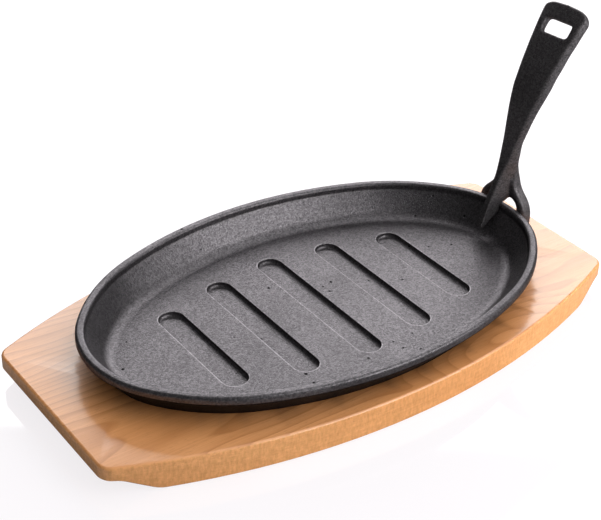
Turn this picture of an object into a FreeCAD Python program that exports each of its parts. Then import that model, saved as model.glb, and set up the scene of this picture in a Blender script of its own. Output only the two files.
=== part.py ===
"""Sizzle platter: an oval cast-iron dish on a wooden board, with a clip-on lifting handle.

Frame: X runs along the board towards the handle, Y across it, Z up.
The origin is the middle of the board's underside. All lengths are in millimetres.
"""
import FreeCAD, Part
import math
import os
import Sketcher
from FreeCAD import Placement, Rotation, Vector

# Driving dimensions, one named value each
SIZES = {
    # wooden board
    "board_length": 316.4,
    "board_end_width": 106.4,
    "board_mid_width": 174.4,
    "board_thickness": 16.0,
    "board_corner_radius": 8.3,
    "board_top_rounding": 1.4,
    "board_base_bevel": 0.8,
    "grip_relief_length": 24.5,
    "grip_relief_height": 8.0,
    "grip_relief_slope": 17.0,
    "grip_relief_blend": 14.0,
    "recess_depth": 4.4,
    "recess_clearance": 0.4,
    # cast-iron platter
    "platter_length": 270.0,
    "platter_width": 168.4,
    "platter_height": 22.0,
    "floor_thickness": 4.9,
    "lip_width": 4.8,
    "lip_height": 4.6,
    "lip_outer_bevel": 1.0,
    "lip_inner_bevel": 0.9,
    "lip_base_bevel": 0.7,
    "lip_overhang": 1.5,
    "lip_inner_drop": 3.6,
    "wall_angle": 37.9,
    "wall_foot_fillet": 6.5,
    "wall_base_bevel": 1.2,
    "flange_reach": 30.0,
    "groove_width": 14.1,
    "groove_pitch": 35.8,
    "groove_depth": 2.5,
    "middle_groove_length": 101.2,
    "inner_groove_length": 92.4,
    "outer_groove_length": 73.0,
    "groove_bottom_bevel": 0.9,
    "groove_brim_bevel": 0.4,
    # clip-on handle
    "clip_angle": 6.4,
    "clip_clearance": 0.35,
    "finger_drop": 10.2,
    "finger_reach": 19.4,
    "finger_angle": 24.0,
    "finger_tip_width": 4.9,
    "finger_tip_thickness": 2.2,
    "finger_width": 3.6,
    "finger_back_width": 5.8,
    "fork_height": 10.0,
    "fork_back_width": 10.0,
    "fork_thickness": 13.5,
    "neck_root_height": 18.6,
    "neck_root_width": 3.8,
    "neck_root_back_width": 11.8,
    "neck_root_thickness": 15.4,
    "waist_height": 8.4,
    "waist_angle": 20.0,
    "waist_width": 5.8,
    "waist_back_width": 12.2,
    "waist_thickness": 8.0,
    "neck_bend_height": 11.0,
    "neck_angle": 15.5,
    "neck_width": 8.8,
    "neck_back_width": 13.0,
    "neck_thickness": 5.0,
    "neck_height": 50.0,
    "elbow_width": 12.6,
    "elbow_back_width": 17.0,
    "elbow_thickness": 5.2,
    "elbow_height": 17.0,
    "elbow_angle": 27.0,
    "grip_foot_width": 18.1,
    "grip_foot_back_width": 23.9,
    "grip_height": 42.2,
    "grip_angle": 40.5,
    "grip_width": 28.2,
    "grip_back_width": 33.1,
    "grip_thickness": 5.2,
    "grip_corner_radius": 9.0,
    "grip_crown": 1.1,
    "bevel_share": 0.69,
    "hang_hole_width": 17.4,
    "hang_hole_height": 8.6,
    "hang_hole_rounding": 1.6,
    "hang_hole_margin": 9.6,
    "hoop_width": 33.6,
    "hoop_thickness": 7.7,
    "hoop_leg_drop": 12.0,
    "hoop_arch_width": 20.8,
    "hoop_arch_height": 3.8,
    "hoop_shoulder_height": 0.6,
    "hoop_neck_height": 13.2,
    "hoop_neck_width": 12.6,
    "hoop_flare_radius": 16.0,
    "hoop_edge_bevel": 1.2,
}

# The oval rim's end and side radii, as shares of an ellipse's, and where its shoulder radius
# lies between half the short side and half the long side
OVAL_END = 1.08
OVAL_SHOULDER = 0.4684
OVAL_SIDE = 0.96

doc = FreeCAD.newDocument("sizzle_platter")
sheet = doc.addObject("Spreadsheet::Sheet", "Sizes")
for row, (alias, value) in enumerate(SIZES.items(), start=1):
    sheet.set(f"A{row}", alias)
    sheet.set(f"B{row}", str(value))
    sheet.setAlias(f"B{row}", alias)
doc.recompute()


class Term:
    """A size with its number and the formula that ties it to the sheet."""

    def __init__(self, value, text):
        self.value = float(value)
        self.text = text

    def __add__(self, other):
        other = term(other)
        return Term(self.value + other.value, f"({self.text} + {other.text})")

    def __sub__(self, other):
        other = term(other)
        return Term(self.value - other.value, f"({self.text} - {other.text})")

    def __mul__(self, other):
        other = term(other)
        return Term(self.value * other.value, f"({self.text} * {other.text})")

    def __truediv__(self, other):
        other = term(other)
        return Term(self.value / other.value, f"({self.text} / {other.text})")

    def __neg__(self):
        return Term(-self.value, f"(0 - {self.text})")


def term(number):
    return number if isinstance(number, Term) else Term(number, repr(float(number)))


def size(alias):
    return Term(SIZES[alias], f"Sizes.{alias}")


def sine(angle):
    return Term(math.sin(math.radians(angle.value)), f"sin({angle.text} * 1 deg)")


def cosine(angle):
    return Term(math.cos(math.radians(angle.value)), f"cos({angle.text} * 1 deg)")


def tangent(angle):
    return Term(math.tan(math.radians(angle.value)), f"tan({angle.text} * 1 deg)")


def new_body(name):
    body = doc.addObject("PartDesign::Body", name)
    body.Label = name
    return body


def new_sketch(body, name, plane, rise=None, out=None, turn=None):
    """A sketch on an origin plane of its body, moved and turned by bound sizes."""
    sketch = body.newObject("Sketcher::SketchObject", name)
    support = [item for item in body.Origin.OriginFeatures if item.Role == plane][0]
    sketch.AttachmentSupport = [(support, "")]
    sketch.MapMode = "FlatFace"
    rise, out, turn = term(rise or 0), term(out or 0), term(turn or 0)
    base = Vector(0, rise.value, out.value)
    sketch.AttachmentOffset = Placement(base, Rotation(Vector(1, 0, 0), turn.value))
    sketch.setExpression(".AttachmentOffset.Base.y", rise.text)
    sketch.setExpression(".AttachmentOffset.Base.z", out.text)
    sketch.setExpression(".AttachmentOffset.Rotation.Angle", f"{turn.text} * 1 deg")
    return sketch


def bind(sketch, kind, *references, to):
    """Add a constraint whose size follows the sheet."""
    to = term(to)
    value = math.radians(to.value) if kind == "Angle" else to.value
    index = sketch.addConstraint(Sketcher.Constraint(kind, *references, value))
    text = f"{to.text} * 1 deg" if kind == "Angle" else to.text
    sketch.setExpression(f"Constraints[{index}]", text)


def pin(sketch, geometry, end, x, y):
    bind(sketch, "DistanceX", -1, 1, geometry, end, to=x)
    bind(sketch, "DistanceY", -1, 1, geometry, end, to=y)


def corner_arc(before, corner, after, radius):
    """Start, end and arc of the rounding of one corner; the arc runs anticlockwise."""
    to_before = (before - corner).normalize()
    to_after = (after - corner).normalize()
    half = to_before.getAngle(to_after) / 2
    start = corner + to_before * (radius / math.tan(half))
    end = corner + to_after * (radius / math.tan(half))
    centre = corner + (to_before + to_after).normalize() * (radius / math.sin(half))
    anticlockwise = to_before.cross(to_after).z < 0
    first, last = (start, end) if anticlockwise else (end, start)
    angles = [math.atan2(point.y - centre.y, point.x - centre.x) for point in (first, last)]
    if angles[1] < angles[0]:
        angles[1] += 2 * math.pi
    arc = Part.ArcOfCircle(Part.Circle(centre, Vector(0, 0, 1), radius), *angles)
    return start, end, arc, anticlockwise


def rounded_outline(sketch, corners):
    """Close a polygon of (x, y, radius) corners, each one tied to the sheet."""
    corners = [(term(x), term(y), term(radius)) for x, y, radius in corners]
    points = [Vector(x.value, y.value, 0) for x, y, radius in corners]
    count = len(corners)
    roundings = []
    for index, (x, y, radius) in enumerate(corners):
        here = points[index]
        if radius.value > 0:
            roundings.append(corner_arc(points[index - 1], here, points[(index + 1) % count], radius.value))
        else:
            roundings.append((here, here, None, True))
    lines = []
    for index in range(count):
        line = Part.LineSegment(roundings[index][1], roundings[(index + 1) % count][0])
        lines.append(sketch.addGeometry(line))
    for index, (x, y, radius) in enumerate(corners):
        before, after = lines[index - 1], lines[index]
        if radius.value > 0:
            start, end, curve, anticlockwise = roundings[index]
            first, last = (1, 2) if anticlockwise else (2, 1)
            arc = sketch.addGeometry(curve)
            mark = sketch.addGeometry(Part.Point(points[index]), True)
            sketch.addConstraint(Sketcher.Constraint("Tangent", before, 2, arc, first))
            sketch.addConstraint(Sketcher.Constraint("Tangent", after, 1, arc, last))
            sketch.addConstraint(Sketcher.Constraint("PointOnObject", mark, 1, before))
            sketch.addConstraint(Sketcher.Constraint("PointOnObject", mark, 1, after))
            bind(sketch, "Radius", arc, to=radius)
            pin(sketch, mark, 1, x, y)
        else:
            sketch.addConstraint(Sketcher.Constraint("Coincident", before, 2, after, 1))
            pin(sketch, after, 1, x, y)


def oval(sketch, inset=0):
    """The platter's rim, or a curve parallel to it, as tangent arcs from the X axis round to it again."""
    end_x, side_y = end_centre.value, side_centre.value
    span, bearing = math.hypot(end_x, side_y), math.atan2(-side_y, end_x)
    low = shoulder_radius.value - end_radius.value
    high = side_radius.value - shoulder_radius.value
    near = bearing - math.acos((low * low + span * span - high * high) / (2 * low * span))
    far = bearing + math.acos((high * high + span * span - low * low) / (2 * high * span))
    half, full = math.pi, 2 * math.pi
    arcs = [
        ("end", 1, 1, 0, near),
        ("shoulder", 1, 1, near, far),
        ("side", 1, 1, far, half - far),
        ("shoulder", -1, 1, half - far, half - near),
        ("end", -1, 1, half - near, half + near),
        ("shoulder", -1, -1, half + near, half + far),
        ("side", 1, -1, half + far, full - far),
        ("shoulder", 1, -1, full - far, full - near),
        ("end", 1, -1, full - near, full),
    ]
    shoulder = (end_x - low * math.cos(near), -low * math.sin(near))
    centres = {"end": (end_x, 0), "shoulder": shoulder, "side": (0, side_y)}
    radii = {"end": end_radius - inset, "shoulder": shoulder_radius - inset, "side": side_radius - inset}
    last = len(arcs) - 1
    for number, (kind, right, up, start, stop) in enumerate(arcs):
        centre = Vector(centres[kind][0] * right, centres[kind][1] * up, 0)
        circle = Part.Circle(centre, Vector(0, 0, 1), radii[kind].value)
        sketch.addGeometry(Part.ArcOfCircle(circle, start, stop))
        if number > 0:
            sketch.addConstraint(Sketcher.Constraint("Tangent", number - 1, 2, number, 1))
        if number < last:
            bind(sketch, "Radius", number, to=radii[kind])
        if kind == "end":
            pin(sketch, number, 3, end_centre * right, 0)
        elif kind == "side":
            pin(sketch, number, 3, 0, side_centre * up)
    sketch.addConstraint(Sketcher.Constraint("PointOnObject", 0, 1, -1))
    sketch.addConstraint(Sketcher.Constraint("Coincident", last, 2, 0, 1))
    return [f"Edge{number + 1}" for number in range(len(arcs))]


def pad(body, name, sketch, length, midplane=False):
    feature = body.newObject("PartDesign::Pad", name)
    feature.Profile = sketch
    feature.Midplane = midplane
    feature.setExpression("Length", length.text)
    return feature


def pocket(body, name, sketch, depth=None, reverse=False):
    """A cut to a depth, or right through both ways where no depth is given."""
    feature = body.newObject("PartDesign::Pocket", name)
    feature.Profile = sketch
    if depth is None:
        feature.Type = "ThroughAll"
        feature.Midplane = True
    else:
        feature.setExpression("Length", depth.text)
        feature.Reversed = reverse
    return feature


def dress(body, kind, name, base, edges, amount):
    """A fillet or a chamfer on the edges of a feature that the test picks out."""
    doc.recompute()
    names = [f"Edge{number}" for number, edge in enumerate(base.Shape.Edges, start=1) if edges(edge)]
    feature = body.newObject(f"PartDesign::{kind}", name)
    feature.Base = (base, names)
    feature.setExpression("Radius" if kind == "Fillet" else "Size", amount.text)
    doc.recompute()
    return feature


def spans(edge, low, high):
    """Whether every point of an edge lies between two heights."""
    return edge.BoundBox.ZMin > low and edge.BoundBox.ZMax < high


# The oval rim: parallel curves share its centres
long_side, short_side = size("platter_length"), size("platter_width")
end_radius = short_side * short_side / long_side / 2 * OVAL_END
shoulder_radius = (short_side + (long_side - short_side) * OVAL_SHOULDER) / 2
side_radius = long_side * long_side / short_side / 2 * OVAL_SIDE
end_centre = long_side / 2 - end_radius
side_centre = short_side / 2 - side_radius

# Wooden board: bowed long sides, straight ends, an oval recess and two undercut ends
board = new_body("board")
half_length = size("board_length") / 2
half_end = size("board_end_width") / 2
bow = (size("board_mid_width") - size("board_end_width")) / 2
bow_radius = (half_length * half_length + bow * bow) / (bow * 2)

outline = new_sketch(board, "board_outline", "XY_Plane")
ends = []
for side in (1, -1):
    start = Vector(side * half_length.value, side * half_end.value, 0)
    crown = Vector(0, side * (half_end.value + bow.value), 0)
    stop = Vector(-side * half_length.value, side * half_end.value, 0)
    ends.append(outline.addGeometry(Part.Arc(start, crown, stop)))
for side, arc, other in ((1, ends[0], ends[1]), (-1, ends[1], ends[0])):
    pin(outline, arc, 1, half_length * side, half_end * side)
    pin(outline, arc, 2, half_length * -side, half_end * side)
    bind(outline, "Radius", arc, to=bow_radius)
    line = outline.addGeometry(Part.LineSegment(
        Vector(-side * half_length.value, side * half_end.value, 0),
        Vector(-side * half_length.value, -side * half_end.value, 0)))
    outline.addConstraint(Sketcher.Constraint("Coincident", line, 1, arc, 2))
    outline.addConstraint(Sketcher.Constraint("Coincident", line, 2, other, 1))
slab = pad(board, "board_slab", outline, size("board_thickness"))

top = SIZES["board_thickness"]
corners = dress(
    board, "Fillet", "board_corners", slab,
    lambda edge: edge.BoundBox.ZLength > top / 2 and edge.BoundBox.XLength < 0.01,
    size("board_corner_radius"))

relief = new_sketch(board, "grip_relief", "XZ_Plane")
beyond = half_length + size("grip_relief_length")
inner_edge = half_length - size("grip_relief_length")
slope_top = inner_edge + size("grip_relief_slope")
for side in (1, -1):
    rounded_outline(relief, [
        (inner_edge * side - size("grip_relief_length") * side, -size("grip_relief_height"), 0),
        (inner_edge * side - size("grip_relief_length") * side, 0, 0),
        (inner_edge * side, 0, size("grip_relief_blend")),
        (slope_top * side, size("grip_relief_height"), size("grip_relief_blend")),
        (beyond * side, size("grip_relief_height"), 0),
        (beyond * side, -size("grip_relief_height"), 0),
    ])
undercut = pocket(board, "grip_undercut", relief)

oval_inset = (size("platter_height") - size("lip_height") - size("recess_depth")) * tangent(size("wall_angle"))
recess_inset = size("lip_overhang") + oval_inset - size("recess_clearance")
recess_sketch = new_sketch(board, "platter_recess", "XY_Plane", out=size("board_thickness"))
oval(recess_sketch, recess_inset)
recess = pocket(board, "recess", recess_sketch, size("recess_depth"))

edge_limit = SIZES["platter_length"] / 2 - recess_inset.value + 1


def on_rim(edge):
    box = edge.BoundBox
    outside = max(abs(box.XMin), abs(box.XMax)) > edge_limit
    return outside and spans(edge, top - 0.01, top + 0.01)


board_edges = dress(board, "Fillet", "board_top_edge", recess, on_rim, size("board_top_rounding"))
base_edges = dress(
    board, "Chamfer", "board_base_edge", board_edges,
    lambda edge: spans(edge, -0.01, 0.01) and edge.BoundBox.XLength > half_length.value,
    size("board_base_bevel"))

# Cast-iron platter: one wall section carried round an oval, an oval floor and five sunk grooves
platter = new_body("platter")
height = size("platter_height")
lip_base = height - size("lip_height")
slope = tangent(size("wall_angle"))
outer_foot = size("lip_overhang") + lip_base * slope
inner_top = height - size("lip_inner_drop")
inner_foot = size("lip_width") + (inner_top - size("floor_thickness")) * slope

path = new_sketch(platter, "rim_path", "XY_Plane")
rim_edges = oval(path)

section = new_sketch(platter, "wall_section", "XZ_Plane")
rim = size("platter_length") / 2
outer_bevel, inner_bevel, base_bevel = size("lip_outer_bevel"), size("lip_inner_bevel"), size("wall_base_bevel")
rounded_outline(section, [
    (rim, height - outer_bevel, 0),
    (rim - outer_bevel, height, 0),
    (rim - size("lip_width") + inner_bevel, height, 0),
    (rim - size("lip_width"), height - inner_bevel, 0),
    (rim - size("lip_width"), inner_top, 0),
    (rim - inner_foot, size("floor_thickness"), size("wall_foot_fillet")),
    (rim - size("flange_reach"), size("floor_thickness"), 0),
    (rim - size("flange_reach"), 0, 0),
    (rim - outer_foot - base_bevel, 0, 0),
    (rim - outer_foot + base_bevel * slope, base_bevel, 0),
    (rim - size("lip_overhang"), lip_base, 0),
    (rim - size("lip_base_bevel"), lip_base, 0),
    (rim, lip_base + size("lip_base_bevel"), 0),
])
wall = platter.newObject("PartDesign::AdditivePipe", "wall")
wall.Profile = section
wall.Spine = (path, rim_edges)
wall.Mode = "Frenet"

floor_sketch = new_sketch(platter, "floor_outline", "XY_Plane")
floor_inset = (inner_foot + size("wall_foot_fillet") * 0.5 + size("flange_reach")) / 2
oval(floor_sketch, floor_inset)
floor = pad(platter, "floor", floor_sketch, size("floor_thickness"))

grooves = new_sketch(platter, "groove_outlines", "XY_Plane", out=size("floor_thickness"))
groove_radius = size("groove_width") / 2
lengths = ("outer_groove_length", "inner_groove_length", "middle_groove_length",
           "inner_groove_length", "outer_groove_length")
for place, length in enumerate(lengths):
    centre = size("groove_pitch") * (place - 2)
    reach = size(length) / 2 - groove_radius
    left, right = centre - groove_radius, centre + groove_radius
    arcs = []
    for way in (1, -1):
        arcs.append(grooves.addGeometry(Part.Arc(
            Vector(centre.value + way * groove_radius.value, way * reach.value, 0),
            Vector(centre.value, way * (reach.value + groove_radius.value), 0),
            Vector(centre.value - way * groove_radius.value, way * reach.value, 0))))
    for way, arc in zip((1, -1), arcs):
        pin(grooves, arc, 3, centre, reach * way)
        bind(grooves, "Radius", arc, to=groove_radius)
    for start, stop, x in ((arcs[0], arcs[1], left), (arcs[1], arcs[0], right)):
        side = grooves.addGeometry(Part.LineSegment(
            Vector(x.value, reach.value if x is left else -reach.value, 0),
            Vector(x.value, -reach.value if x is left else reach.value, 0)))
        grooves.addConstraint(Sketcher.Constraint("Tangent", side, 1, start, 2))
        grooves.addConstraint(Sketcher.Constraint("Tangent", side, 2, stop, 1))
sunk = pocket(platter, "grooves", grooves, size("groove_depth"))

floor_top = SIZES["floor_thickness"]
groove_floor = floor_top - SIZES["groove_depth"]
groove_zone = SIZES["groove_pitch"] * 2 + SIZES["groove_width"]


def inside_grooves(edge):
    return abs(edge.BoundBox.Center.x) < groove_zone and edge.BoundBox.XLength < groove_zone


bottoms = dress(
    platter, "Chamfer", "groove_bottoms", sunk,
    lambda edge: spans(edge, groove_floor - 0.01, groove_floor + 0.01) and inside_grooves(edge),
    size("groove_bottom_bevel"))
brims = dress(
    platter, "Chamfer", "groove_brims", bottoms,
    lambda edge: spans(edge, floor_top - 0.01, floor_top + 0.01) and inside_grooves(edge),
    size("groove_brim_bevel"))

# Clip-on handle: a lofted finger, neck and grip, and a two-legged hoop behind the rim
handle = new_body("gripper_handle")
arch_half = size("hoop_arch_width") / 2
leg_face = size("clip_clearance") - arch_half * arch_half / (end_radius * 2)

hoop_sketch = new_sketch(handle, "hoop_outline", "YZ_Plane", out=leg_face)
leg_round = (size("hoop_width") - size("hoop_arch_width")) / 4 * 0.96
half_hoop = size("hoop_width") / 2
half_neck = size("hoop_neck_width") / 2
hoop_top = size("hoop_neck_height") * 1.15
right_side = [
    (half_neck, hoop_top, 0),
    (half_neck, size("hoop_neck_height") * 0.9, size("hoop_flare_radius")),
    (half_hoop, size("hoop_shoulder_height"), size("hoop_flare_radius")),
    (half_hoop, -size("hoop_leg_drop"), leg_round),
    (arch_half, -size("hoop_leg_drop"), leg_round),
    (arch_half, size("hoop_arch_height"), arch_half * 0.55),
]
left_side = [(-x, y, radius) for x, y, radius in reversed(right_side)]
rounded_outline(hoop_sketch, right_side + left_side)
hoop = pad(handle, "hoop", hoop_sketch, size("hoop_thickness"))
hoop_edges = dress(
    handle, "Chamfer", "hoop_edges", hoop,
    lambda edge: edge.BoundBox.XLength < 0.01 and edge.BoundBox.ZMin < hoop_top.value - 0.01,
    size("hoop_edge_bevel"))

# The bar's front face, from the finger's tip inside the dish to the top of the grip.
# A station is its reach out from the rim, its rise over it, its lean from upright,
# its front and back widths and its thickness.
finger_lean, neck_lean = size("finger_angle"), size("neck_angle")
elbow_lean, grip_lean = size("elbow_angle"), size("grip_angle")
finger_gap = size("clip_clearance") + size("finger_back_width") * 0.03
lip_face = size("lip_width") + finger_gap
rim_reach = size("finger_reach") - size("finger_drop") * tangent(finger_lean)
lip_thickness = (rim_reach - lip_face) * cosine(finger_lean)
wall_thickness = lip_thickness + size("lip_inner_drop") * sine(finger_lean)


def blend(low, high, share):
    """Station values part of the way from one station's to another's."""
    return [first + (second - first) * share for first, second in zip(low, high)]


def straight(stations, rise, shape):
    """Carry the bar on at its lean up to a rise and a new section."""
    out, start, lean = stations[-1][:3]
    stations.append([out + (rise - start) * tangent(lean), rise, lean, *shape])


def curve(stations, rise, new_lean, shape, steps):
    """Carry the bar round a tangent arc up to a rise and a new lean."""
    out, start, lean, *old_shape = stations[-1]
    radius = (rise - start) / (sine(new_lean) - sine(lean))
    for step in range(1, steps + 1):
        here = lean + (new_lean - lean) * (step / steps)
        stations.append([
            out + radius * (cosine(lean) - cosine(here)), start + radius * (sine(here) - sine(lean)),
            here, *blend(old_shape, shape, step / steps)])


tip_shape = [size("finger_tip_width"), size("finger_tip_width"), size("finger_tip_thickness")]
wall_shape = [size("finger_width"), size("finger_back_width"), wall_thickness]
lip_shape = [size("finger_width"), size("finger_back_width"), lip_thickness]
fork_shape = [size("finger_width"), size("fork_back_width"), size("fork_thickness")]
root_shape = [size("neck_root_width"), size("neck_root_back_width"), size("neck_root_thickness")]
waist_shape = [size("waist_width"), size("waist_back_width"), size("waist_thickness")]
neck_shape = [size("neck_width"), size("neck_back_width"), size("neck_thickness")]
elbow_shape = [size("elbow_width"), size("elbow_back_width"), size("elbow_thickness")]
foot_shape = [size("grip_foot_width"), size("grip_foot_back_width"), size("grip_thickness")]
grip_shape = [size("grip_width"), size("grip_back_width"), size("grip_thickness")]
waist_rise = size("neck_root_height") + size("waist_height")
elbow_rise = size("neck_height") + size("elbow_height")
stations = [[-size("finger_reach"), -size("finger_drop"), finger_lean, *tip_shape]]
straight(stations, wall_thickness * sine(finger_lean) - size("lip_inner_drop"), wall_shape)
straight(stations, lip_thickness * sine(finger_lean), lip_shape)
straight(stations, size("fork_height"), fork_shape)
straight(stations, size("neck_root_height"), root_shape)
curve(stations, waist_rise, size("waist_angle"), waist_shape, 1)
curve(stations, waist_rise + size("neck_bend_height"), neck_lean, neck_shape, 1)
straight(stations, size("neck_height"), elbow_shape)
curve(stations, elbow_rise, elbow_lean, foot_shape, 3)
curve(stations, elbow_rise + size("grip_height"), grip_lean, grip_shape, 4)

sections = []
for number, (out, rise, lean, front_width, back_width, thickness) in enumerate(stations):
    outline = new_sketch(handle, f"bar_section_{number}", "YZ_Plane", rise, out, lean - 90)
    front, back = front_width / 2, back_width / 2
    bevel = -thickness * size("bevel_share")
    rounded_outline(outline, [
        (-front, 0, 0), (front, 0, 0), (back, bevel, 0),
        (back, -thickness, 0), (-back, -thickness, 0), (-back, bevel, 0),
    ])
    sections.append(outline)
bar = handle.newObject("PartDesign::AdditiveLoft", "bar")
bar.Profile = sections[0]
bar.Sections = sections[1:]
bar.Ruled = True

# The grip's crowned top with its rounded corners, and its hanging hole, square to the grip's face
grip_out, grip_rise = stations[-1][0], stations[-1][1]
end_half = size("grip_back_width") / 2
corner = size("grip_corner_radius")
crown = size("grip_crown")
corner_sketch = new_sketch(handle, "grip_corner_outline", "YZ_Plane", grip_rise, grip_out, grip_lean)
rounded_outline(corner_sketch, [
    (-end_half - corner, corner, 0),
    (end_half + corner, corner, 0),
    (end_half + corner, -corner * 2, 0),
    (end_half, -corner * 2, 0),
    (end_half, -crown, corner),
    (0, 0, end_half),
    (-end_half, -crown, corner),
    (-end_half, -corner * 2, 0),
    (-end_half - corner, -corner * 2, 0),
])
grip_corners = pocket(handle, "grip_corners", corner_sketch)

hole_sketch = new_sketch(handle, "hang_hole_outline", "YZ_Plane", grip_rise, grip_out, grip_lean)
hole_half = size("hang_hole_width") / 2
hole_top = -size("hang_hole_margin")
hole_low = hole_top - size("hang_hole_height")
rounded_outline(hole_sketch, [
    (hole_half, hole_top, size("hang_hole_rounding")),
    (-hole_half, hole_top, size("hang_hole_rounding")),
    (-hole_half, hole_low, size("hang_hole_rounding")),
    (hole_half, hole_low, size("hang_hole_rounding")),
])
hang_hole = pocket(handle, "hang_hole", hole_sketch)

# Places of the pieces
platter.setExpression(".Placement.Base.z", "Sizes.board_thickness - Sizes.recess_depth")
clip = size("clip_angle")
rim_x = end_centre + end_radius * cosine(clip)
rim_y = end_radius * sine(clip)
rim_z = size("board_thickness") - size("recess_depth") + size("platter_height")
for axis, value in (("x", rim_x), ("y", rim_y), ("z", rim_z)):
    handle.setExpression(f".Placement.Base.{axis}", value.text)
handle.setExpression(".Placement.Rotation.Angle", f"{clip.text} * 1 deg")
doc.recompute()

pieces = [board, platter, handle]
for item in doc.Objects:
    if "Invalid" in item.State or "Error" in item.State:
        raise RuntimeError(f"{item.Name} did not build: {item.State}")
for piece in pieces:
    if piece.Shape.isNull() or not piece.Shape.isValid() or len(piece.Shape.Solids) != 1:
        raise RuntimeError(f"{piece.Label} is not one sound solid")

os.makedirs("parts", exist_ok=True)
for piece in pieces:
    piece.Shape.exportStep(f"parts/{piece.Label}.step")
    box = piece.Shape.BoundBox
    print(piece.Label, "volume", round(piece.Shape.Volume), "box",
          [round(value, 2) for value in (box.XMin, box.XMax, box.YMin, box.YMax, box.ZMin, box.ZMax)])
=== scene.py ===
# %% [markdown]
# # A sizzle platter on its serving board
#
# Three pieces lie on a white table: an oval dish of cast iron, the wooden board whose
# recess it sits in, and a forked iron handle that is clipped over the dish's rim.
# The construction model gives their places. This lesson gives them their finish: new
# meshes where a casting's soft edges matter, and node materials for iron and lacquered wood.

# %% Load the construction model
import bmesh
import bpy
import math
from mathutils import Matrix, Vector


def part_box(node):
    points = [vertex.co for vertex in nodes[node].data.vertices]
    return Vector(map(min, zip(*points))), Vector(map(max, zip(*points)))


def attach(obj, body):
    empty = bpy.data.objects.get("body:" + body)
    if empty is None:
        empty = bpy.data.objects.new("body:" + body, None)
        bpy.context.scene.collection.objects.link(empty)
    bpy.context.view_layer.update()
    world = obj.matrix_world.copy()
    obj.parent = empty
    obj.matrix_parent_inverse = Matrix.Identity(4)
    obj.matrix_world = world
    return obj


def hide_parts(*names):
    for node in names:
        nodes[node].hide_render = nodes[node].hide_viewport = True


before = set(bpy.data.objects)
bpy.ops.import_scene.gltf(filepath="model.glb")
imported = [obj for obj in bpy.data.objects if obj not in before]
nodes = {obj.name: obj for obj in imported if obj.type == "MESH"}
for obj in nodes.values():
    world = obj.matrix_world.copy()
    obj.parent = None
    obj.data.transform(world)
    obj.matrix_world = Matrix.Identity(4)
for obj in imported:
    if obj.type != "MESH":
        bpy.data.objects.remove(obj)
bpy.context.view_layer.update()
print("pieces of the model:", sorted(nodes))

MM = 0.001

# %% [markdown]
# ## Helpers for node trees
#
# A material or a Geometry Nodes tree is a list of nodes with their inputs. One helper adds
# a node and fills its inputs, either with plain values or with the output of another node,
# so each tree reads from top to bottom like a recipe. The others name what is used most:
# sums and products, blends, ranges, stretched noise, and turning modifiers into a mesh.

# %% Helpers
def add(tree, kind, inputs=None, **settings):
    """Add a node to a tree, set its properties, and fill inputs with values or links."""
    made = tree.nodes.new(kind)
    for name, value in settings.items():
        setattr(made, name, value)
    for name, value in (inputs or {}).items():
        if isinstance(value, bpy.types.NodeSocket):
            tree.links.new(value, made.inputs[name])
        else:
            made.inputs[name].default_value = value
    return made


def math_node(tree, operation, first, second=0.0, clamp=False):
    """The output of a Math node."""
    made = add(tree, "ShaderNodeMath", {0: first, 1: second}, operation=operation, use_clamp=clamp)
    return made.outputs[0]


def plus(tree, first, second):
    """The sum of two values."""
    return math_node(tree, "ADD", first, second)


def minus(tree, first, second, clamp=False):
    """The difference of two values."""
    return math_node(tree, "SUBTRACT", first, second, clamp)


def times(tree, first, second):
    """The product of two values."""
    return math_node(tree, "MULTIPLY", first, second)


def over(tree, first, second):
    """The quotient of two values."""
    return math_node(tree, "DIVIDE", first, second)


def blend_node(tree, factor, low, high, blend="MIX"):
    """The output of a Mix node for colours."""
    made = add(tree, "ShaderNodeMix", data_type="RGBA", blend_type=blend)
    for socket, value in zip((made.inputs[0], made.inputs[6], made.inputs[7]), (factor, low, high)):
        if isinstance(value, bpy.types.NodeSocket):
            tree.links.new(value, socket)
        else:
            socket.default_value = value
    return made.outputs[2]


def range_node(tree, value, low, high, to_low=0.0, to_high=1.0):
    """The output of a Map Range node that clamps."""
    return add(tree, "ShaderNodeMapRange", {
        "Value": value, "From Min": low, "From Max": high, "To Min": to_low, "To Max": to_high,
    }).outputs[0]


def stretched_noise(tree, place, scale, detail, roughness=0.5):
    """The output of a noise whose grains are stretched along the axes of smaller scale."""
    stretched = add(tree, "ShaderNodeMapping", {"Vector": place, "Scale": scale}).outputs[0]
    return add(tree, "ShaderNodeTexNoise", {
        "Vector": stretched, "Scale": 1.0, "Detail": detail, "Roughness": roughness}).outputs["Fac"]


def settle(piece):
    """Turn a piece and its modifiers into one plain mesh."""
    graph = bpy.context.evaluated_depsgraph_get()
    graph.update()
    mesh = bpy.data.meshes.new_from_object(piece.evaluated_get(graph), depsgraph=graph)
    piece.modifiers.clear()
    piece.data = mesh
    return piece


def smooth_by_angle(piece, degrees):
    """Smooth shading, with edges kept crisp where the surface turns sharply."""
    piece.data.polygons.foreach_set("use_smooth", [True] * len(piece.data.polygons))
    piece.data.set_sharp_from_angle(angle=math.radians(degrees))


print("helpers ready")

# %% [markdown]
# ## The camera
#
# The dish is seen from the front left, about a third of the way up the sky. The camera's
# place, turn and lens come from matching the outlines of rim and board. It also leans a
# little to one side, which a turn about its own axis gives.

# %% Camera
CAMERA_PLACE = Vector((-0.37788, -0.497816, 0.444107))
CAMERA_AZIMUTH = math.radians(-36.333)
CAMERA_ELEVATION = math.radians(32.672)
CAMERA_ROLL = math.radians(1.641)
FOCAL_PIXELS = 1432.19
IMAGE_WIDTH = 601
SENSOR_WIDTH = 36.0

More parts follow.
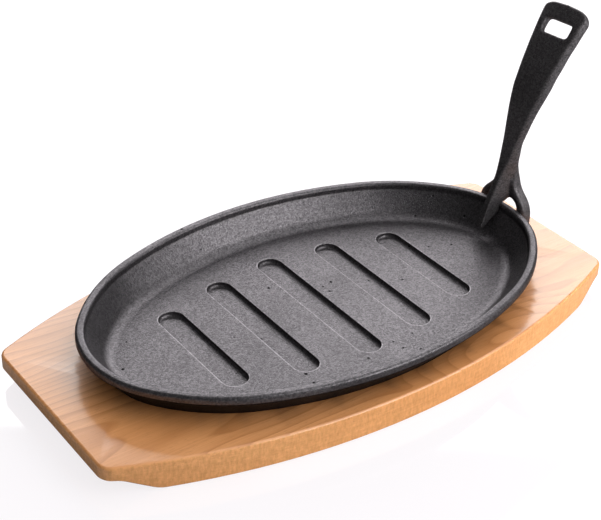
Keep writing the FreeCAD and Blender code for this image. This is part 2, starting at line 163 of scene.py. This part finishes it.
camera_data = bpy.data.cameras.new("photo_camera")
camera_data.sensor_width = SENSOR_WIDTH
camera_data.lens = FOCAL_PIXELS / IMAGE_WIDTH * SENSOR_WIDTH
camera = bpy.data.objects.new("photo_camera", camera_data)
turn = Matrix.Rotation(CAMERA_AZIMUTH, 4, "Z")
tilt = Matrix.Rotation(math.pi / 2 - CAMERA_ELEVATION, 4, "X")
lean = Matrix.Rotation(CAMERA_ROLL, 4, "Z")
camera.matrix_world = Matrix.Translation(CAMERA_PLACE) @ turn @ tilt @ lean
bpy.context.scene.collection.objects.link(camera)
bpy.context.scene.camera = camera
bpy.context.scene.view_settings.view_transform = "Standard"
print("lens", round(camera_data.lens, 2), "mm")

# %% [markdown]
# ## The table and the light
#
# The real thing stands in a white studio on a glossy table. Iron shows what it mirrors,
# so each lamp has a real size and a task: a tall softbox behind the right end turns the
# black floor grey and the lacquer pale, one in front lights the far wall and the bevel
# of the handle, and one overhead lights the curve where floor becomes wall. A soft fill
# comes from the front right, and a low lamp that no reflection shows lifts the right end
# of the board's edge. The room is dim in reflections, and so is the table, so that the
# walls stay nearly black. The white background is a colour that only camera rays and
# rays through glass see.

# %% White table
TABLE_REACH = 4.0
TABLE_DROP = 0.1 * MM
table_mesh = bpy.data.meshes.new("table")
table_mesh.from_pydata(
    [(-TABLE_REACH, -TABLE_REACH, 0), (TABLE_REACH, -TABLE_REACH, 0),
     (TABLE_REACH, TABLE_REACH, 0), (-TABLE_REACH, TABLE_REACH, 0)], [], [(0, 1, 2, 3)])
table = bpy.data.objects.new("table", table_mesh)
table.location.z = -TABLE_DROP
bpy.context.scene.collection.objects.link(table)

TABLE_GLOSS = 0.05
TABLE_GLOW = 0.83
LIT_WHITE, MIRRORED_WHITE = (0.62, 0.61, 0.62, 1), (0.24, 0.235, 0.24, 1)
SEEN_WHITE, GLOW_WHITE = (0.13, 0.126, 0.13, 1), (1.0, 0.975, 0.995, 1)
table_material = bpy.data.materials.new("white_table")
table_material.use_nodes = True
tree = table_material.node_tree
tree.nodes.clear()
path = add(tree, "ShaderNodeLightPath")
pale = blend_node(tree, path.outputs["Is Glossy Ray"], LIT_WHITE, MIRRORED_WHITE)
plain = add(tree, "ShaderNodeBsdfDiffuse", {"Color": pale})
matt = add(tree, "ShaderNodeBsdfDiffuse", {"Color": SEEN_WHITE})
gloss = add(tree, "ShaderNodeBsdfGlossy", {"Color": (1, 1, 1, 1), "Roughness": 0.04})
body = add(tree, "ShaderNodeMixShader", {"Fac": TABLE_GLOSS, 1: matt.outputs[0], 2: gloss.outputs[0]})
glow = add(tree, "ShaderNodeEmission", {"Color": GLOW_WHITE, "Strength": TABLE_GLOW})
shown = add(tree, "ShaderNodeAddShader", {0: body.outputs[0], 1: glow.outputs[0]})
seen = math_node(tree, "MAXIMUM", path.outputs["Is Camera Ray"], path.outputs["Is Transmission Ray"])
both = add(tree, "ShaderNodeMixShader", {"Fac": seen, 1: plain.outputs[0], 2: shown.outputs[0]})
add(tree, "ShaderNodeOutputMaterial", {"Surface": both.outputs[0]})
table.data.materials.append(table_material)
print("table ready")

# %% Softboxes
def softbox(name, azimuth, elevation, distance, width, height, radiance):
    """A rectangular lamp that faces the dish from a direction, at a given radiance."""
    lamp_data = bpy.data.lights.new(name, "AREA")
    lamp_data.shape = "RECTANGLE"
    lamp_data.size = width
    lamp_data.size_y = height
    lamp_data.energy = math.pi * width * height * radiance
    lamp = bpy.data.objects.new(name, lamp_data)
    lamp.visible_camera = False
    azimuth, elevation = math.radians(azimuth), math.radians(elevation)
    level = math.cos(elevation)
    towards = Vector((math.cos(azimuth) * level, math.sin(azimuth) * level, math.sin(elevation)))
    lamp.location = towards * distance
    lamp.rotation_euler = (-towards).to_track_quat("-Z", "Y").to_euler()
    bpy.context.scene.collection.objects.link(lamp)
    print(name, round(lamp_data.energy, 1), "W")
    return lamp


softbox("back_softbox", 52, 23, 1.7, 1.5, 1.15, 4.2)
softbox("front_softbox", -62, 31, 1.25, 0.95, 0.46, 5.6)
softbox("top_softbox", -4, 61, 1.5, 1.6, 1.0, 1.35)
edge_fill = softbox("edge_fill", -38, 6, 0.60, 0.40, 0.11, 20.0)
edge_fill.visible_glossy = False

# %% Room
ROOM_FILL, ROOM_SHADE = 1.22, 0.06
FILL_SIDE = (0.70, -0.55, 0.46)
SHADE_EDGE = -0.4
ROOM_GLOSS = 0.045

world = bpy.data.worlds.new("white_room")
world.use_nodes = True
bpy.context.scene.world = world
tree = world.node_tree
tree.nodes.clear()
path = add(tree, "ShaderNodeLightPath")
seen = math_node(tree, "MAXIMUM", path.outputs["Is Camera Ray"], path.outputs["Is Transmission Ray"])
sight = add(tree, "ShaderNodeTexCoord").outputs["Generated"]
towards_fill = add(tree, "ShaderNodeVectorMath", {0: sight, 1: FILL_SIDE}, operation="DOT_PRODUCT")
fill = range_node(tree, towards_fill.outputs["Value"], SHADE_EDGE, 1.0, ROOM_SHADE, ROOM_FILL)
room = add(tree, "ShaderNodeMix", {0: path.outputs["Is Glossy Ray"], 2: fill, 3: ROOM_GLOSS})
strength = math_node(tree, "MAXIMUM", seen, room.outputs[0])
sky = add(tree, "ShaderNodeBackground", {"Color": (1, 1, 1, 1), "Strength": strength})
add(tree, "ShaderNodeOutputWorld", {"Surface": sky.outputs[0]})
print("room ready")

# %% [markdown]
# ## Cast iron
#
# Sand leaves a casting covered in fine grains, with a few open pits, and the seasoning
# makes it black with a dull shine. The iron is nearly metallic with a dark base, so its
# tone scales the reflection itself: the grain then stays crisp in the glare, where a
# strong bump would only spread the light. A weak bump adds the sparkle. Dish and handle
# differ in how coarse and how pitted the skin is. Those are inputs of the shader group,
# so one group serves both. The edges of the grooves are painted brighter, as a painted
# highlight, and the outer wall and the underside are painted darker, as painted shade.

# %% Grains of the sand-cast skin
dish_skin = {"Grain Scale": 1150.0, "Coarse Scale": 320.0, "Coarse Share": 0.10, "Pit Share": 1.0}
handle_skin = {"Grain Scale": 1200.0, "Coarse Scale": 360.0, "Coarse Share": 0.10, "Pit Share": 0.2}
CLOUD_SCALE = 24.0

skin = bpy.data.node_groups.new("sand_cast_skin", "ShaderNodeTree")
for name, start in dish_skin.items():
    skin.interface.new_socket(name, in_out="INPUT", socket_type="NodeSocketFloat").default_value = start
for name in ("Tone", "Roughness", "Height"):
    skin.interface.new_socket(name, in_out="OUTPUT", socket_type="NodeSocketFloat")
asked = add(skin, "NodeGroupInput").outputs
place = add(skin, "ShaderNodeTexCoord").outputs["Object"]
grain = add(skin, "ShaderNodeTexNoise", {
    "Vector": place, "Scale": asked["Grain Scale"], "Detail": 4.0, "Roughness": 0.75}).outputs["Fac"]
sand = add(skin, "ShaderNodeTexVoronoi", {"Vector": place, "Scale": asked["Grain Scale"]})
sand_tone = add(skin, "ShaderNodeSeparateColor", {0: sand.outputs["Color"]}).outputs[0]
coarse = add(skin, "ShaderNodeTexNoise", {
    "Vector": place, "Scale": asked["Coarse Scale"], "Detail": 3.0, "Roughness": 0.55}).outputs["Fac"]
cloud = add(skin, "ShaderNodeTexNoise", {
    "Vector": place, "Scale": CLOUD_SCALE, "Detail": 3.0}).outputs["Fac"]
grain = plus(skin, times(skin, grain, 0.75), times(skin, sand_tone, 0.25))
relief = minus(skin, grain, times(skin, sand.outputs["Distance"], 0.3))
relief = add(skin, "ShaderNodeMix", {0: asked["Coarse Share"], 2: relief, 3: coarse}).outputs[0]
print("grains about", round(1 / dish_skin["Grain Scale"] / MM, 2), "mm wide")

# %% Pits, tone and roughness of the skin
PIT_SCALE = 150.0
PIT_DEPTH, PIT_SHADE, PIT_ROUGHNESS = 1.6, 0.85, 0.3

pit_cells = add(skin, "ShaderNodeTexVoronoi", {"Vector": place, "Scale": PIT_SCALE})
pit_chance = add(skin, "ShaderNodeSeparateColor", {0: pit_cells.outputs["Color"]}).outputs
pit_pick = range_node(skin, pit_chance[0], 0.60, 0.62)
pit_size = range_node(skin, pit_chance[1], 0.2, 1.0, 0.05, 0.16)
pit_reach = over(skin, pit_cells.outputs["Distance"], times(skin, pit_size, 0.5))
pit_shape = minus(skin, 2.0, pit_reach, clamp=True)
pits = times(skin, times(skin, pit_pick, pit_shape), asked["Pit Share"])
height = minus(skin, relief, times(skin, pits, PIT_DEPTH))
clouded = range_node(skin, cloud, 0.3, 0.7, 0.85, 1.15)
tone = times(skin, clouded, range_node(skin, grain, 0.3, 0.7, 0.56, 1.44))
# The pits are painted darker, as the shade inside them.
tone = times(skin, tone, minus(skin, 1.0, times(skin, pits, PIT_SHADE)))
clouded = range_node(skin, cloud, 0.3, 0.7, -0.03, 0.03)
rough = plus(skin, clouded, range_node(skin, grain, 0.3, 0.7, 0.05, -0.05))
rough = plus(skin, rough, times(skin, pits, PIT_ROUGHNESS))
add(skin, "NodeGroupOutput", {"Tone": tone, "Roughness": rough, "Height": height})
print("skin group has", len(skin.nodes), "nodes")

# %% A material from the skin
IRON_METALLIC = 0.9
IRON_EDGE_TINT = (0.45, 0.45, 0.45, 1)


def iron(name, colour, roughness, grain_depth, values):
    """Seasoned cast iron: a dark base under the sand-cast skin."""
    material = bpy.data.materials.new(name)
    material.use_nodes = True
    tree = material.node_tree
    shader = tree.nodes["Principled BSDF"]
    cast = add(tree, "ShaderNodeGroup", node_tree=skin)
    for socket, value in values.items():
        cast.inputs[socket].default_value = value
    tint = blend_node(tree, 1.0, colour, cast.outputs["Tone"], "MULTIPLY")
    tree.links.new(tint, shader.inputs["Base Color"])
    tree.links.new(plus(tree, cast.outputs["Roughness"], roughness), shader.inputs["Roughness"])
    bump = add(tree, "ShaderNodeBump", {"Height": cast.outputs["Height"], "Distance": grain_depth})
    tree.links.new(bump.outputs[0], shader.inputs["Normal"])
    shader.inputs["Metallic"].default_value = IRON_METALLIC
    shader.inputs["Specular Tint"].default_value = IRON_EDGE_TINT
    return material


dish_iron = iron("dish_iron", (0.125, 0.117, 0.124, 1), 0.34, 0.22 * MM, dish_skin)
# A lighter copy of the dish iron for the groove brims: a painted highlight along their edges.
brim_highlight_iron = iron("brim_highlight_iron", (0.20, 0.188, 0.198, 1), 0.34, 0.10 * MM, dish_skin)
# A darker copy of the dish iron for the outer wall and the underside: painted shade.
under_shade_iron = iron("under_shade_iron", (0.048, 0.044, 0.047, 1), 0.42, 0.22 * MM, dish_skin)
handle_iron = iron("handle_iron", (0.126, 0.118, 0.123, 1), 0.42, 0.22 * MM, handle_skin)
print("iron ready")

# %% [markdown]
# ## The dish
#
# The dish is one casting: a leaning wall with a rounded lip, carried round an oval, and a
# flat floor with five sunk grooves. A section that follows a path could be a curve with a
# bevel, but that leaves the floor open, so the section's points become rings of one closed
# mesh. The oval is made of tangent arcs, and a ring further in is a parallel curve.

# %% The oval rim
dish_low, dish_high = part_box("platter")
RIM_LENGTH = dish_high[0] - dish_low[0]
RIM_WIDTH = dish_high[1] - dish_low[1]
DISH_BASE = dish_low[2]
DISH_HEIGHT = dish_high[2] - dish_low[2]
END_SHARE, SIDE_SHARE, SHOULDER_SHARE = 1.08, 0.96, 0.4684
RING_STEP = 2.4 * MM

end_radius = RIM_WIDTH ** 2 / RIM_LENGTH / 2 * END_SHARE
side_radius = RIM_LENGTH ** 2 / RIM_WIDTH / 2 * SIDE_SHARE
shoulder_radius = (RIM_WIDTH + (RIM_LENGTH - RIM_WIDTH) * SHOULDER_SHARE) / 2
end_x = RIM_LENGTH / 2 - end_radius
side_y = RIM_WIDTH / 2 - side_radius
low_gap, high_gap = shoulder_radius - end_radius, side_radius - shoulder_radius
span = math.hypot(end_x, side_y)
bearing = math.atan2(-side_y, end_x)
near = bearing - math.acos((low_gap ** 2 + span ** 2 - high_gap ** 2) / (2 * low_gap * span))
far = bearing + math.acos((high_gap ** 2 + span ** 2 - low_gap ** 2) / (2 * high_gap * span))
arc_plan = [
    (Vector((end_x, 0)), end_radius, 0.0, near),
    (Vector((end_x - low_gap * math.cos(near), -low_gap * math.sin(near))), shoulder_radius, near, far),
    (Vector((0, side_y)), side_radius, far, math.pi / 2),
]


def oval_rays():
    """Centre, radius and outward direction of the rim at even steps, once round."""
    quarter = []
    for centre, radius, start, stop in arc_plan:
        steps = max(4, round(radius * (stop - start) / RING_STEP))
        for step in range(steps):
            angle = start + (stop - start) * step / steps
            quarter.append((centre, radius, Vector((math.cos(angle), math.sin(angle)))))
    crown = (arc_plan[2][0], side_radius, Vector((0, 1)))
    half = quarter + [crown]
    for centre, radius, out in reversed(quarter[1:]):
        half.append((Vector((-centre.x, centre.y)), radius, Vector((-out.x, out.y))))
    tip = (Vector((-end_x, 0)), end_radius, Vector((-1, 0)))
    whole = half + [tip]
    for centre, radius, out in reversed(half[1:]):
        whole.append((Vector((centre.x, -centre.y)), radius, Vector((out.x, -out.y))))
    return whole


rays = oval_rays()
print("rim", round(RIM_LENGTH, 4), "by", round(RIM_WIDTH, 4), "m in", len(rays), "steps")


# %% The wall's section
def soften(corners, steps=6):
    """Round the corners of a line of (inset, height, radius) points."""
    line = []
    for index, (inset, height, radius) in enumerate(corners):
        here = Vector((inset, height))
        if radius == 0:
            line.append(here)
            continue
        before = (Vector(corners[index - 1][:2]) - here).normalized()
        after = (Vector(corners[index + 1][:2]) - here).normalized()
        half = before.angle(after) / 2
        centre = here + (before + after).normalized() * (radius / math.sin(half))
        first = here + before * (radius / math.tan(half)) - centre
        last = here + after * (radius / math.tan(half)) - centre
        sweep = first.angle_signed(last)
        for step in range(steps + 1):
            angle = -sweep * step / steps
            line.append(centre + Matrix.Rotation(angle, 2) @ first)
    return line


LIP_WIDTH = 4.8 * MM
LIP_HEIGHT = 4.6 * MM
LIP_OVERHANG = 1.5 * MM
LIP_INNER_DROP = 3.6 * MM
FLOOR_THICKNESS = 4.9 * MM
WALL_SLOPE = math.tan(math.radians(37.9))
FLAT_INSET = 30 * MM

lip_base = DISH_HEIGHT - LIP_HEIGHT
inner_top = DISH_HEIGHT - LIP_INNER_DROP
outer_foot = LIP_OVERHANG + lip_base * WALL_SLOPE
inner_foot = LIP_WIDTH + (inner_top - FLOOR_THICKNESS) * WALL_SLOPE
section = soften([
    (FLAT_INSET, 0, 0),
    (outer_foot, 0, 1.8 * MM),
    (LIP_OVERHANG, lip_base, 1.0 * MM),
    (0, lip_base, 1.1 * MM),
    (0, DISH_HEIGHT, 1.7 * MM),
    (LIP_WIDTH, DISH_HEIGHT, 1.6 * MM),
    (LIP_WIDTH, inner_top, 1.8 * MM),
    (inner_foot, FLOOR_THICKNESS, 9.0 * MM),
    (FLAT_INSET, FLOOR_THICKNESS, 0),
])
print("section has", len(section), "points")

# %% Rings of the dish
dish_mesh = bpy.data.meshes.new("dish")
shell = bmesh.new()
rings = []
for inset, height in section:
    ring = []
    for centre, radius, out in rays:
        spot = centre + out * (radius - inset)
        ring.append(shell.verts.new((spot.x, spot.y, DISH_BASE + height)))
    rings.append(ring)
count = len(rays)
for lower, upper in zip(rings, rings[1:]):
    for here in range(count):
        ahead = (here + 1) % count
        shell.faces.new((lower[here], lower[ahead], upper[ahead], upper[here]))
shell.faces.new(list(reversed(rings[0])))
shell.faces.new(rings[-1])
bmesh.ops.recalc_face_normals(shell, faces=shell.faces)
shell.to_mesh(dish_mesh)
shell.free()
dish = bpy.data.objects.new("dish", dish_mesh)
bpy.context.scene.collection.objects.link(dish)
print("dish before its grooves:", len(dish_mesh.polygons), "faces")

# %% [markdown]
# ## Five grooves
#
# The grooves repeat at one pitch and get shorter towards the ends of the oval. A Geometry
# Nodes tree makes one cutter for each: a rectangle with fully rounded ends, filled and
# pulled down. A Repeat zone counts through them, and the length falls by a power of the
# distance from the middle. A Boolean sinks them into the floor. The foot of each cutter
# is rounded first, and the cut's upper edge is bevelled and flattened into a narrow
# brim, which catches the light as a fine line and is painted lighter, as a painted highlight.

# %% Groove cutters by Geometry Nodes
GROOVE_SIZES = {
    "Count": 5, "Pitch": 35.8 * MM, "Width": 14.1 * MM, "Middle Length": 101.2 * MM,
    "Shortening": 8.8 * MM, "Shortening Power": 1.68, "Depth": 2.5 * MM, "Headroom": 3.0 * MM,
}
NEARLY_HALF = 0.4999
END_STEPS = 12
MERGE_DISTANCE = 0.02 * MM

# A fillet of just under half the width keeps its two arcs apart. The merge then joins
# the tiny edge between them, which would otherwise pinch the bevels to nothing.
grooves = bpy.data.node_groups.new("groove_cutters", "GeometryNodeTree")
for name, start in GROOVE_SIZES.items():
    kind = "NodeSocketInt" if isinstance(start, int) else "NodeSocketFloat"
    grooves.interface.new_socket(name, in_out="INPUT", socket_type=kind).default_value = start
grooves.interface.new_socket("Geometry", in_out="OUTPUT", socket_type="NodeSocketGeometry")
wanted = add(grooves, "NodeGroupInput").outputs
loop_in = add(grooves, "GeometryNodeRepeatInput")
loop_out = add(grooves, "GeometryNodeRepeatOutput")
loop_in.pair_with_output(loop_out)
grooves.links.new(wanted["Count"], loop_in.inputs["Iterations"])
middle = over(grooves, minus(grooves, wanted["Count"], 1.0), 2.0)
off_middle = minus(grooves, loop_in.outputs["Iteration"], middle)
steps_off = math_node(grooves, "ABSOLUTE", off_middle)
fall = math_node(grooves, "POWER", steps_off, wanted["Shortening Power"])
length = minus(grooves, wanted["Middle Length"], times(grooves, fall, wanted["Shortening"]))
outline = add(grooves, "GeometryNodeCurvePrimitiveQuadrilateral", {
    "Width": wanted["Width"], "Height": length})
rounding = times(grooves, wanted["Width"], NEARLY_HALF)
ends = add(grooves, "GeometryNodeFilletCurve", {
    "Curve": outline.outputs[0], "Radius": rounding, "Count": END_STEPS, "Limit Radius": True,
}, mode="POLY")
shift = add(grooves, "ShaderNodeCombineXYZ", {"X": times(grooves, off_middle, wanted["Pitch"])})
moved = add(grooves, "GeometryNodeTransform", {
    "Geometry": ends.outputs[0], "Translation": shift.outputs[0]})
filled = add(grooves, "GeometryNodeFillCurve", {"Curve": moved.outputs[0]}, mode="NGONS")
reach_down = times(grooves, plus(grooves, wanted["Depth"], wanted["Headroom"]), -1.0)
drop = add(grooves, "ShaderNodeCombineXYZ", {"Z": reach_down})
sunk = add(grooves, "GeometryNodeExtrudeMesh", {
    "Mesh": filled.outputs[0], "Offset": drop.outputs[0], "Offset Scale": 1.0, "Individual": False})
closed = add(grooves, "GeometryNodeJoinGeometry")
for part in (sunk.outputs["Mesh"], filled.outputs[0], loop_in.outputs["Geometry"]):
    grooves.links.new(part, closed.inputs[0])
grooves.links.new(closed.outputs[0], loop_out.inputs["Geometry"])
merged = add(grooves, "GeometryNodeMergeByDistance", {
    "Geometry": loop_out.outputs["Geometry"], "Distance": MERGE_DISTANCE})
lift = add(grooves, "ShaderNodeCombineXYZ", {"Z": wanted["Headroom"]})
raised = add(grooves, "GeometryNodeTransform", {
    "Geometry": merged.outputs[0], "Translation": lift.outputs[0]})
real = add(grooves, "GeometryNodeRealizeInstances", {"Geometry": raised.outputs[0]})
coated = add(grooves, "GeometryNodeSetMaterial", {"Geometry": real.outputs[0], "Material": dish_iron})
add(grooves, "NodeGroupOutput", {"Geometry": coated.outputs[0]})
print("groove tree has", len(grooves.nodes), "nodes")

# %% Cutters with rounded feet
SHARP_EDGE = math.radians(60)
FOOT_RADIUS = 1.3 * MM

cutters = bpy.data.objects.new("groove_cutters", bpy.data.meshes.new("groove_cutters"))
bpy.context.scene.collection.objects.link(cutters)
maker = cutters.modifiers.new("grooves", "NODES")
maker.node_group = grooves
for socket in grooves.interface.items_tree:
    if socket.in_out == "INPUT":
        maker[socket.identifier] = GROOVE_SIZES[socket.name]
settle(cutters)
cutter_work = bmesh.new()
cutter_work.from_mesh(cutters.data)
bmesh.ops.recalc_face_normals(cutter_work, faces=cutter_work.faces)
foot_edges = [edge for edge in cutter_work.edges
              if len(edge.link_faces) == 2 and edge.calc_face_angle() > SHARP_EDGE
              and all(vert.co.z < 0 for vert in edge.verts)]
bmesh.ops.bevel(
    cutter_work, geom=foot_edges, offset=FOOT_RADIUS, segments=4, profile=0.5, affect="EDGES")
for vert in cutter_work.verts:
    vert.co.z += DISH_BASE + FLOOR_THICKNESS
cutter_work.to_mesh(cutters.data)
cutter_work.free()
print("cutters:", len(cutters.data.polygons), "faces")

# %% Sink the grooves and flatten their brims
BRIM_WIDTH = 0.7 * MM
BRIM_FLATNESS = 0.35
LEAST_DROP, MOST_DROP = 0.001 * MM, 1.01 * BRIM_WIDTH

cut = dish.modifiers.new("cut", "BOOLEAN")
cut.operation = "DIFFERENCE"
cut.solver = "EXACT"
cut.object = cutters
settle(dish)
brim = dish.modifiers.new("brims", "BEVEL")
brim.width = BRIM_WIDTH
brim.segments = 3
brim.limit_method = "ANGLE"
brim.angle_limit = SHARP_EDGE
brim.use_clamp_overlap = False
settle(dish)
floor_top = DISH_BASE + FLOOR_THICKNESS
for vert in dish.data.vertices:
    drop = floor_top - vert.co.z
    if LEAST_DROP < drop < MOST_DROP:
        vert.co.z = floor_top - drop * BRIM_FLATNESS
bpy.data.objects.remove(cutters)
print("dish with its grooves:", len(dish.data.polygons), "faces")

# %% Iron on the dish
BRIM_HIGHLIGHT_TILT, UNDER_SHADE_TILT = 0.3, -0.2
DISH_CREASE = 40

dish.data.materials.clear()
dish_irons = [dish_iron, brim_highlight_iron, under_shade_iron]
for material in dish_irons:
    dish.data.materials.append(material)
for face in dish.data.polygons:
    drop = floor_top - face.center.z
    kind = dish_iron
    # Brim faces that face up get the lighter iron, a painted highlight.
    if LEAST_DROP < drop < BRIM_WIDTH * BRIM_FLATNESS and face.normal.z > BRIM_HIGHLIGHT_TILT:
        kind = brim_highlight_iron
    # Faces that turn downwards get the darker iron, as painted shade.
    elif face.normal.z < UNDER_SHADE_TILT:
        kind = under_shade_iron
    face.material_index = dish_irons.index(kind)
smooth_by_angle(dish, DISH_CREASE)
weigh = dish.modifiers.new("weigh", "WEIGHTED_NORMAL")
weigh.keep_sharp = True
settle(dish)
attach(dish, "root")
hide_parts("platter")
print("dish:", len(dish.data.polygons), "faces")

# %% [markdown]
# ## The handle
#
# The handle is a small casting whose edges are all soft, and whose fork flows into the
# neck. Bevels on such crossing forms break down, so a copy of the model is remeshed into
# fine even cells and then smoothed: every edge and every inner corner rounds by itself,
# as it does in a sand mould. The finger that holds the rim is thin, so it is smoothed
# only a little, and the smoothing grows over the neck to its full strength on the grip.

# %% Soften the handle
HANDLE_CELL = 0.45 * MM
HANDLE_SMOOTHING, SMOOTHING_FACTOR = 60, 0.5
FINGER_SHARE, GRIP_SHARE = 0.04, 1.0
FINGER_TOP, NECK_RISE = 34 * MM, 16 * MM
WELD_DISTANCE = 0.001 * MM


def merged_copy(node, name):
    """A copy of a model node as one connected mesh."""
    mesh = node.data.copy()
    mesh.name = name
    work = bmesh.new()
    work.from_mesh(mesh)
    bmesh.ops.remove_doubles(work, verts=work.verts, dist=WELD_DISTANCE)
    work.to_mesh(mesh)
    work.free()
    mesh.materials.clear()
    piece = bpy.data.objects.new(name, mesh)
    bpy.context.scene.collection.objects.link(piece)
    return piece


handle = merged_copy(nodes["gripper_handle"], "lifting_handle")
cells = handle.modifiers.new("cells", "REMESH")
cells.mode = "VOXEL"
cells.voxel_size = HANDLE_CELL
settle(handle)
softness = handle.vertex_groups.new(name="softness")
for vert in handle.data.vertices:
    rise = min(1.0, max(0.0, (vert.co.z - FINGER_TOP) / NECK_RISE))
    softness.add([vert.index], FINGER_SHARE + (GRIP_SHARE - FINGER_SHARE) * rise, "REPLACE")
even = handle.modifiers.new("even", "SMOOTH")
even.factor = SMOOTHING_FACTOR
even.iterations = HANDLE_SMOOTHING
even.vertex_group = "softness"
settle(handle)
handle.vertex_groups.clear()
handle.data.materials.clear()
handle.data.materials.append(handle_iron)
handle.data.polygons.foreach_set("use_smooth", [True] * len(handle.data.polygons))
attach(handle, "root")
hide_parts("gripper_handle")
print("handle:", len(handle.data.polygons), "faces")

# %% [markdown]
# ## The board
#
# The board is lacquered beech. Its grain runs along it, with arcs where the growth rings
# rise to the surface, fine fibres, and short dark pores. Rings are cylinders round the
# trunk's axis, so the pattern is the distance from an axis that lies below the board and
# slopes a little. Two soft swells push the rings up near the front edge, which draws the
# arcs there. The cut sides show fine saw marks and hardly any rings, and they are painted
# darker and deeper in tone, as painted shade.

# %% Growth rings
RING_SPACING = 4.2 * MM
AXIS_DEPTH = 46 * MM
AXIS_SLOPE = 0.05
AXIS_SIDE = -52 * MM
RING_DRIFT = 50 * MM
ARCS = {(0.062, -0.074, 0.0): 20 * MM, (-0.075, -0.084, 0.0): 14 * MM}
ARC_SCALE = (14.0, 46.0, 10.0)

beech = bpy.data.materials.new("lacquered_beech")
beech.use_nodes = True
tree = beech.node_tree
shader = tree.nodes["Principled BSDF"]
place = add(tree, "ShaderNodeTexCoord").outputs["Object"]
drift = stretched_noise(tree, place, (5.0, 16.0, 16.0), 2.0)
parts = add(tree, "ShaderNodeSeparateXYZ", {0: place}).outputs
across = minus(tree, parts[1], AXIS_SIDE)
down = plus(tree, times(tree, parts[0], AXIS_SLOPE), plus(tree, parts[2], AXIS_DEPTH))
reach = math_node(tree, "SQRT", plus(tree, times(tree, across, across), times(tree, down, down)))
reach = plus(tree, reach, times(tree, drift, RING_DRIFT))
for arc_place, rise in ARCS.items():
    aside = add(tree, "ShaderNodeVectorMath", {0: place, 1: arc_place}, operation="SUBTRACT")
    scaled = add(tree, "ShaderNodeVectorMath", {0: aside.outputs[0], 1: ARC_SCALE}, operation="MULTIPLY")
    far_off = add(tree, "ShaderNodeVectorMath", {0: scaled.outputs[0]}, operation="LENGTH")
    reach = plus(tree, reach, range_node(tree, far_off.outputs["Value"], 0.0, 1.0, rise, 0.0))
ring = math_node(tree, "FRACT", over(tree, reach, RING_SPACING))
late = math_node(tree, "POWER", ring, 3.0)
late = times(tree, late, range_node(tree, ring, 0.93, 1.0, 1.0, 0.0))
print("rings", round(RING_SPACING / MM, 1), "mm apart, with", len(ARCS), "arcs")

# %% Fibres, pores and saw marks
fibre = stretched_noise(tree, place, (18.0, 900.0, 900.0), 3.0, 0.6)
pore = range_node(tree, stretched_noise(tree, place, (260.0, 2600.0, 2600.0), 1.0), 0.62, 0.74)
patch = stretched_noise(tree, place, (6.0, 22.0, 22.0), 3.0)
saw_marks = stretched_noise(tree, place, (800.0, 800.0, 260.0), 2.0, 0.6)
surface = add(tree, "ShaderNodeNewGeometry").outputs["True Normal"]
facing_up = add(tree, "ShaderNodeSeparateXYZ", {0: surface}).outputs[2]
on_side = range_node(tree, math_node(tree, "ABSOLUTE", facing_up), 0.5, 0.85, 1.0, 0.0)
print("wood tree has", len(tree.nodes), "nodes so far")

# %% Colour and lacquer
HONEY_PALE, HONEY_DEEP = (0.71, 0.335, 0.136, 1), (0.58, 0.245, 0.084, 1)
LATE_BROWN = (0.38, 0.140, 0.040, 1)
FIBRE_BROWN, PORE_BROWN = (0.44, 0.185, 0.058, 1), (0.30, 0.120, 0.036, 1)
FIBRE_SHARE, PORE_SHARE = 0.5, 0.35
SAW_MARK_AND_SHADE, CUT_PALE = (0.83, 0.85, 0.68, 1), (1.04, 1.06, 0.98, 1)
LATE_SHARES = (0.80, 0.15)
LACQUER = {"Coat Weight": 0.78, "Coat Roughness": 0.21, "Coat IOR": 1.7, "Specular IOR Level": 0.35}

late_share = range_node(tree, on_side, 0.0, 1.0, *LATE_SHARES)
honey = blend_node(tree, range_node(tree, patch, 0.3, 0.7), HONEY_PALE, HONEY_DEEP)
honey = blend_node(tree, times(tree, late, late_share), honey, LATE_BROWN)
honey = blend_node(tree, range_node(tree, fibre, 0.3, 0.75, 0.0, FIBRE_SHARE), honey, FIBRE_BROWN)
honey = blend_node(tree, times(tree, pore, PORE_SHARE), honey, PORE_BROWN)
# On the sides the saw marks also darken and deepen the wood's colour overall: partly the cut's own
# marks, partly painted shade.
cut = blend_node(tree, range_node(tree, saw_marks, 0.35, 0.65), SAW_MARK_AND_SHADE, CUT_PALE)
honey = blend_node(tree, on_side, honey, blend_node(tree, 1.0, honey, cut, "MULTIPLY"))
tree.links.new(honey, shader.inputs["Base Color"])
tree.links.new(range_node(tree, fibre, 0.3, 0.7, 0.38, 0.52), shader.inputs["Roughness"])
grain_height = minus(tree, times(tree, fibre, 0.3), pore)
bump = add(tree, "ShaderNodeBump", {"Height": grain_height, "Distance": 0.04 * MM, "Strength": 0.6})
tree.links.new(bump.outputs[0], shader.inputs["Normal"])
for socket, value in LACQUER.items():
    shader.inputs[socket].default_value = value
print("lacquered beech ready")

# %% Dress the board
BOARD_CREASE = 28

board = merged_copy(nodes["board"], "serving_board")
board.data.materials.append(beech)
smooth_by_angle(board, BOARD_CREASE)
weigh = board.modifiers.new("weigh", "WEIGHTED_NORMAL")
weigh.keep_sharp = True
settle(board)
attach(board, "root")
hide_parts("board")
print("board:", len(board.data.polygons), "faces")
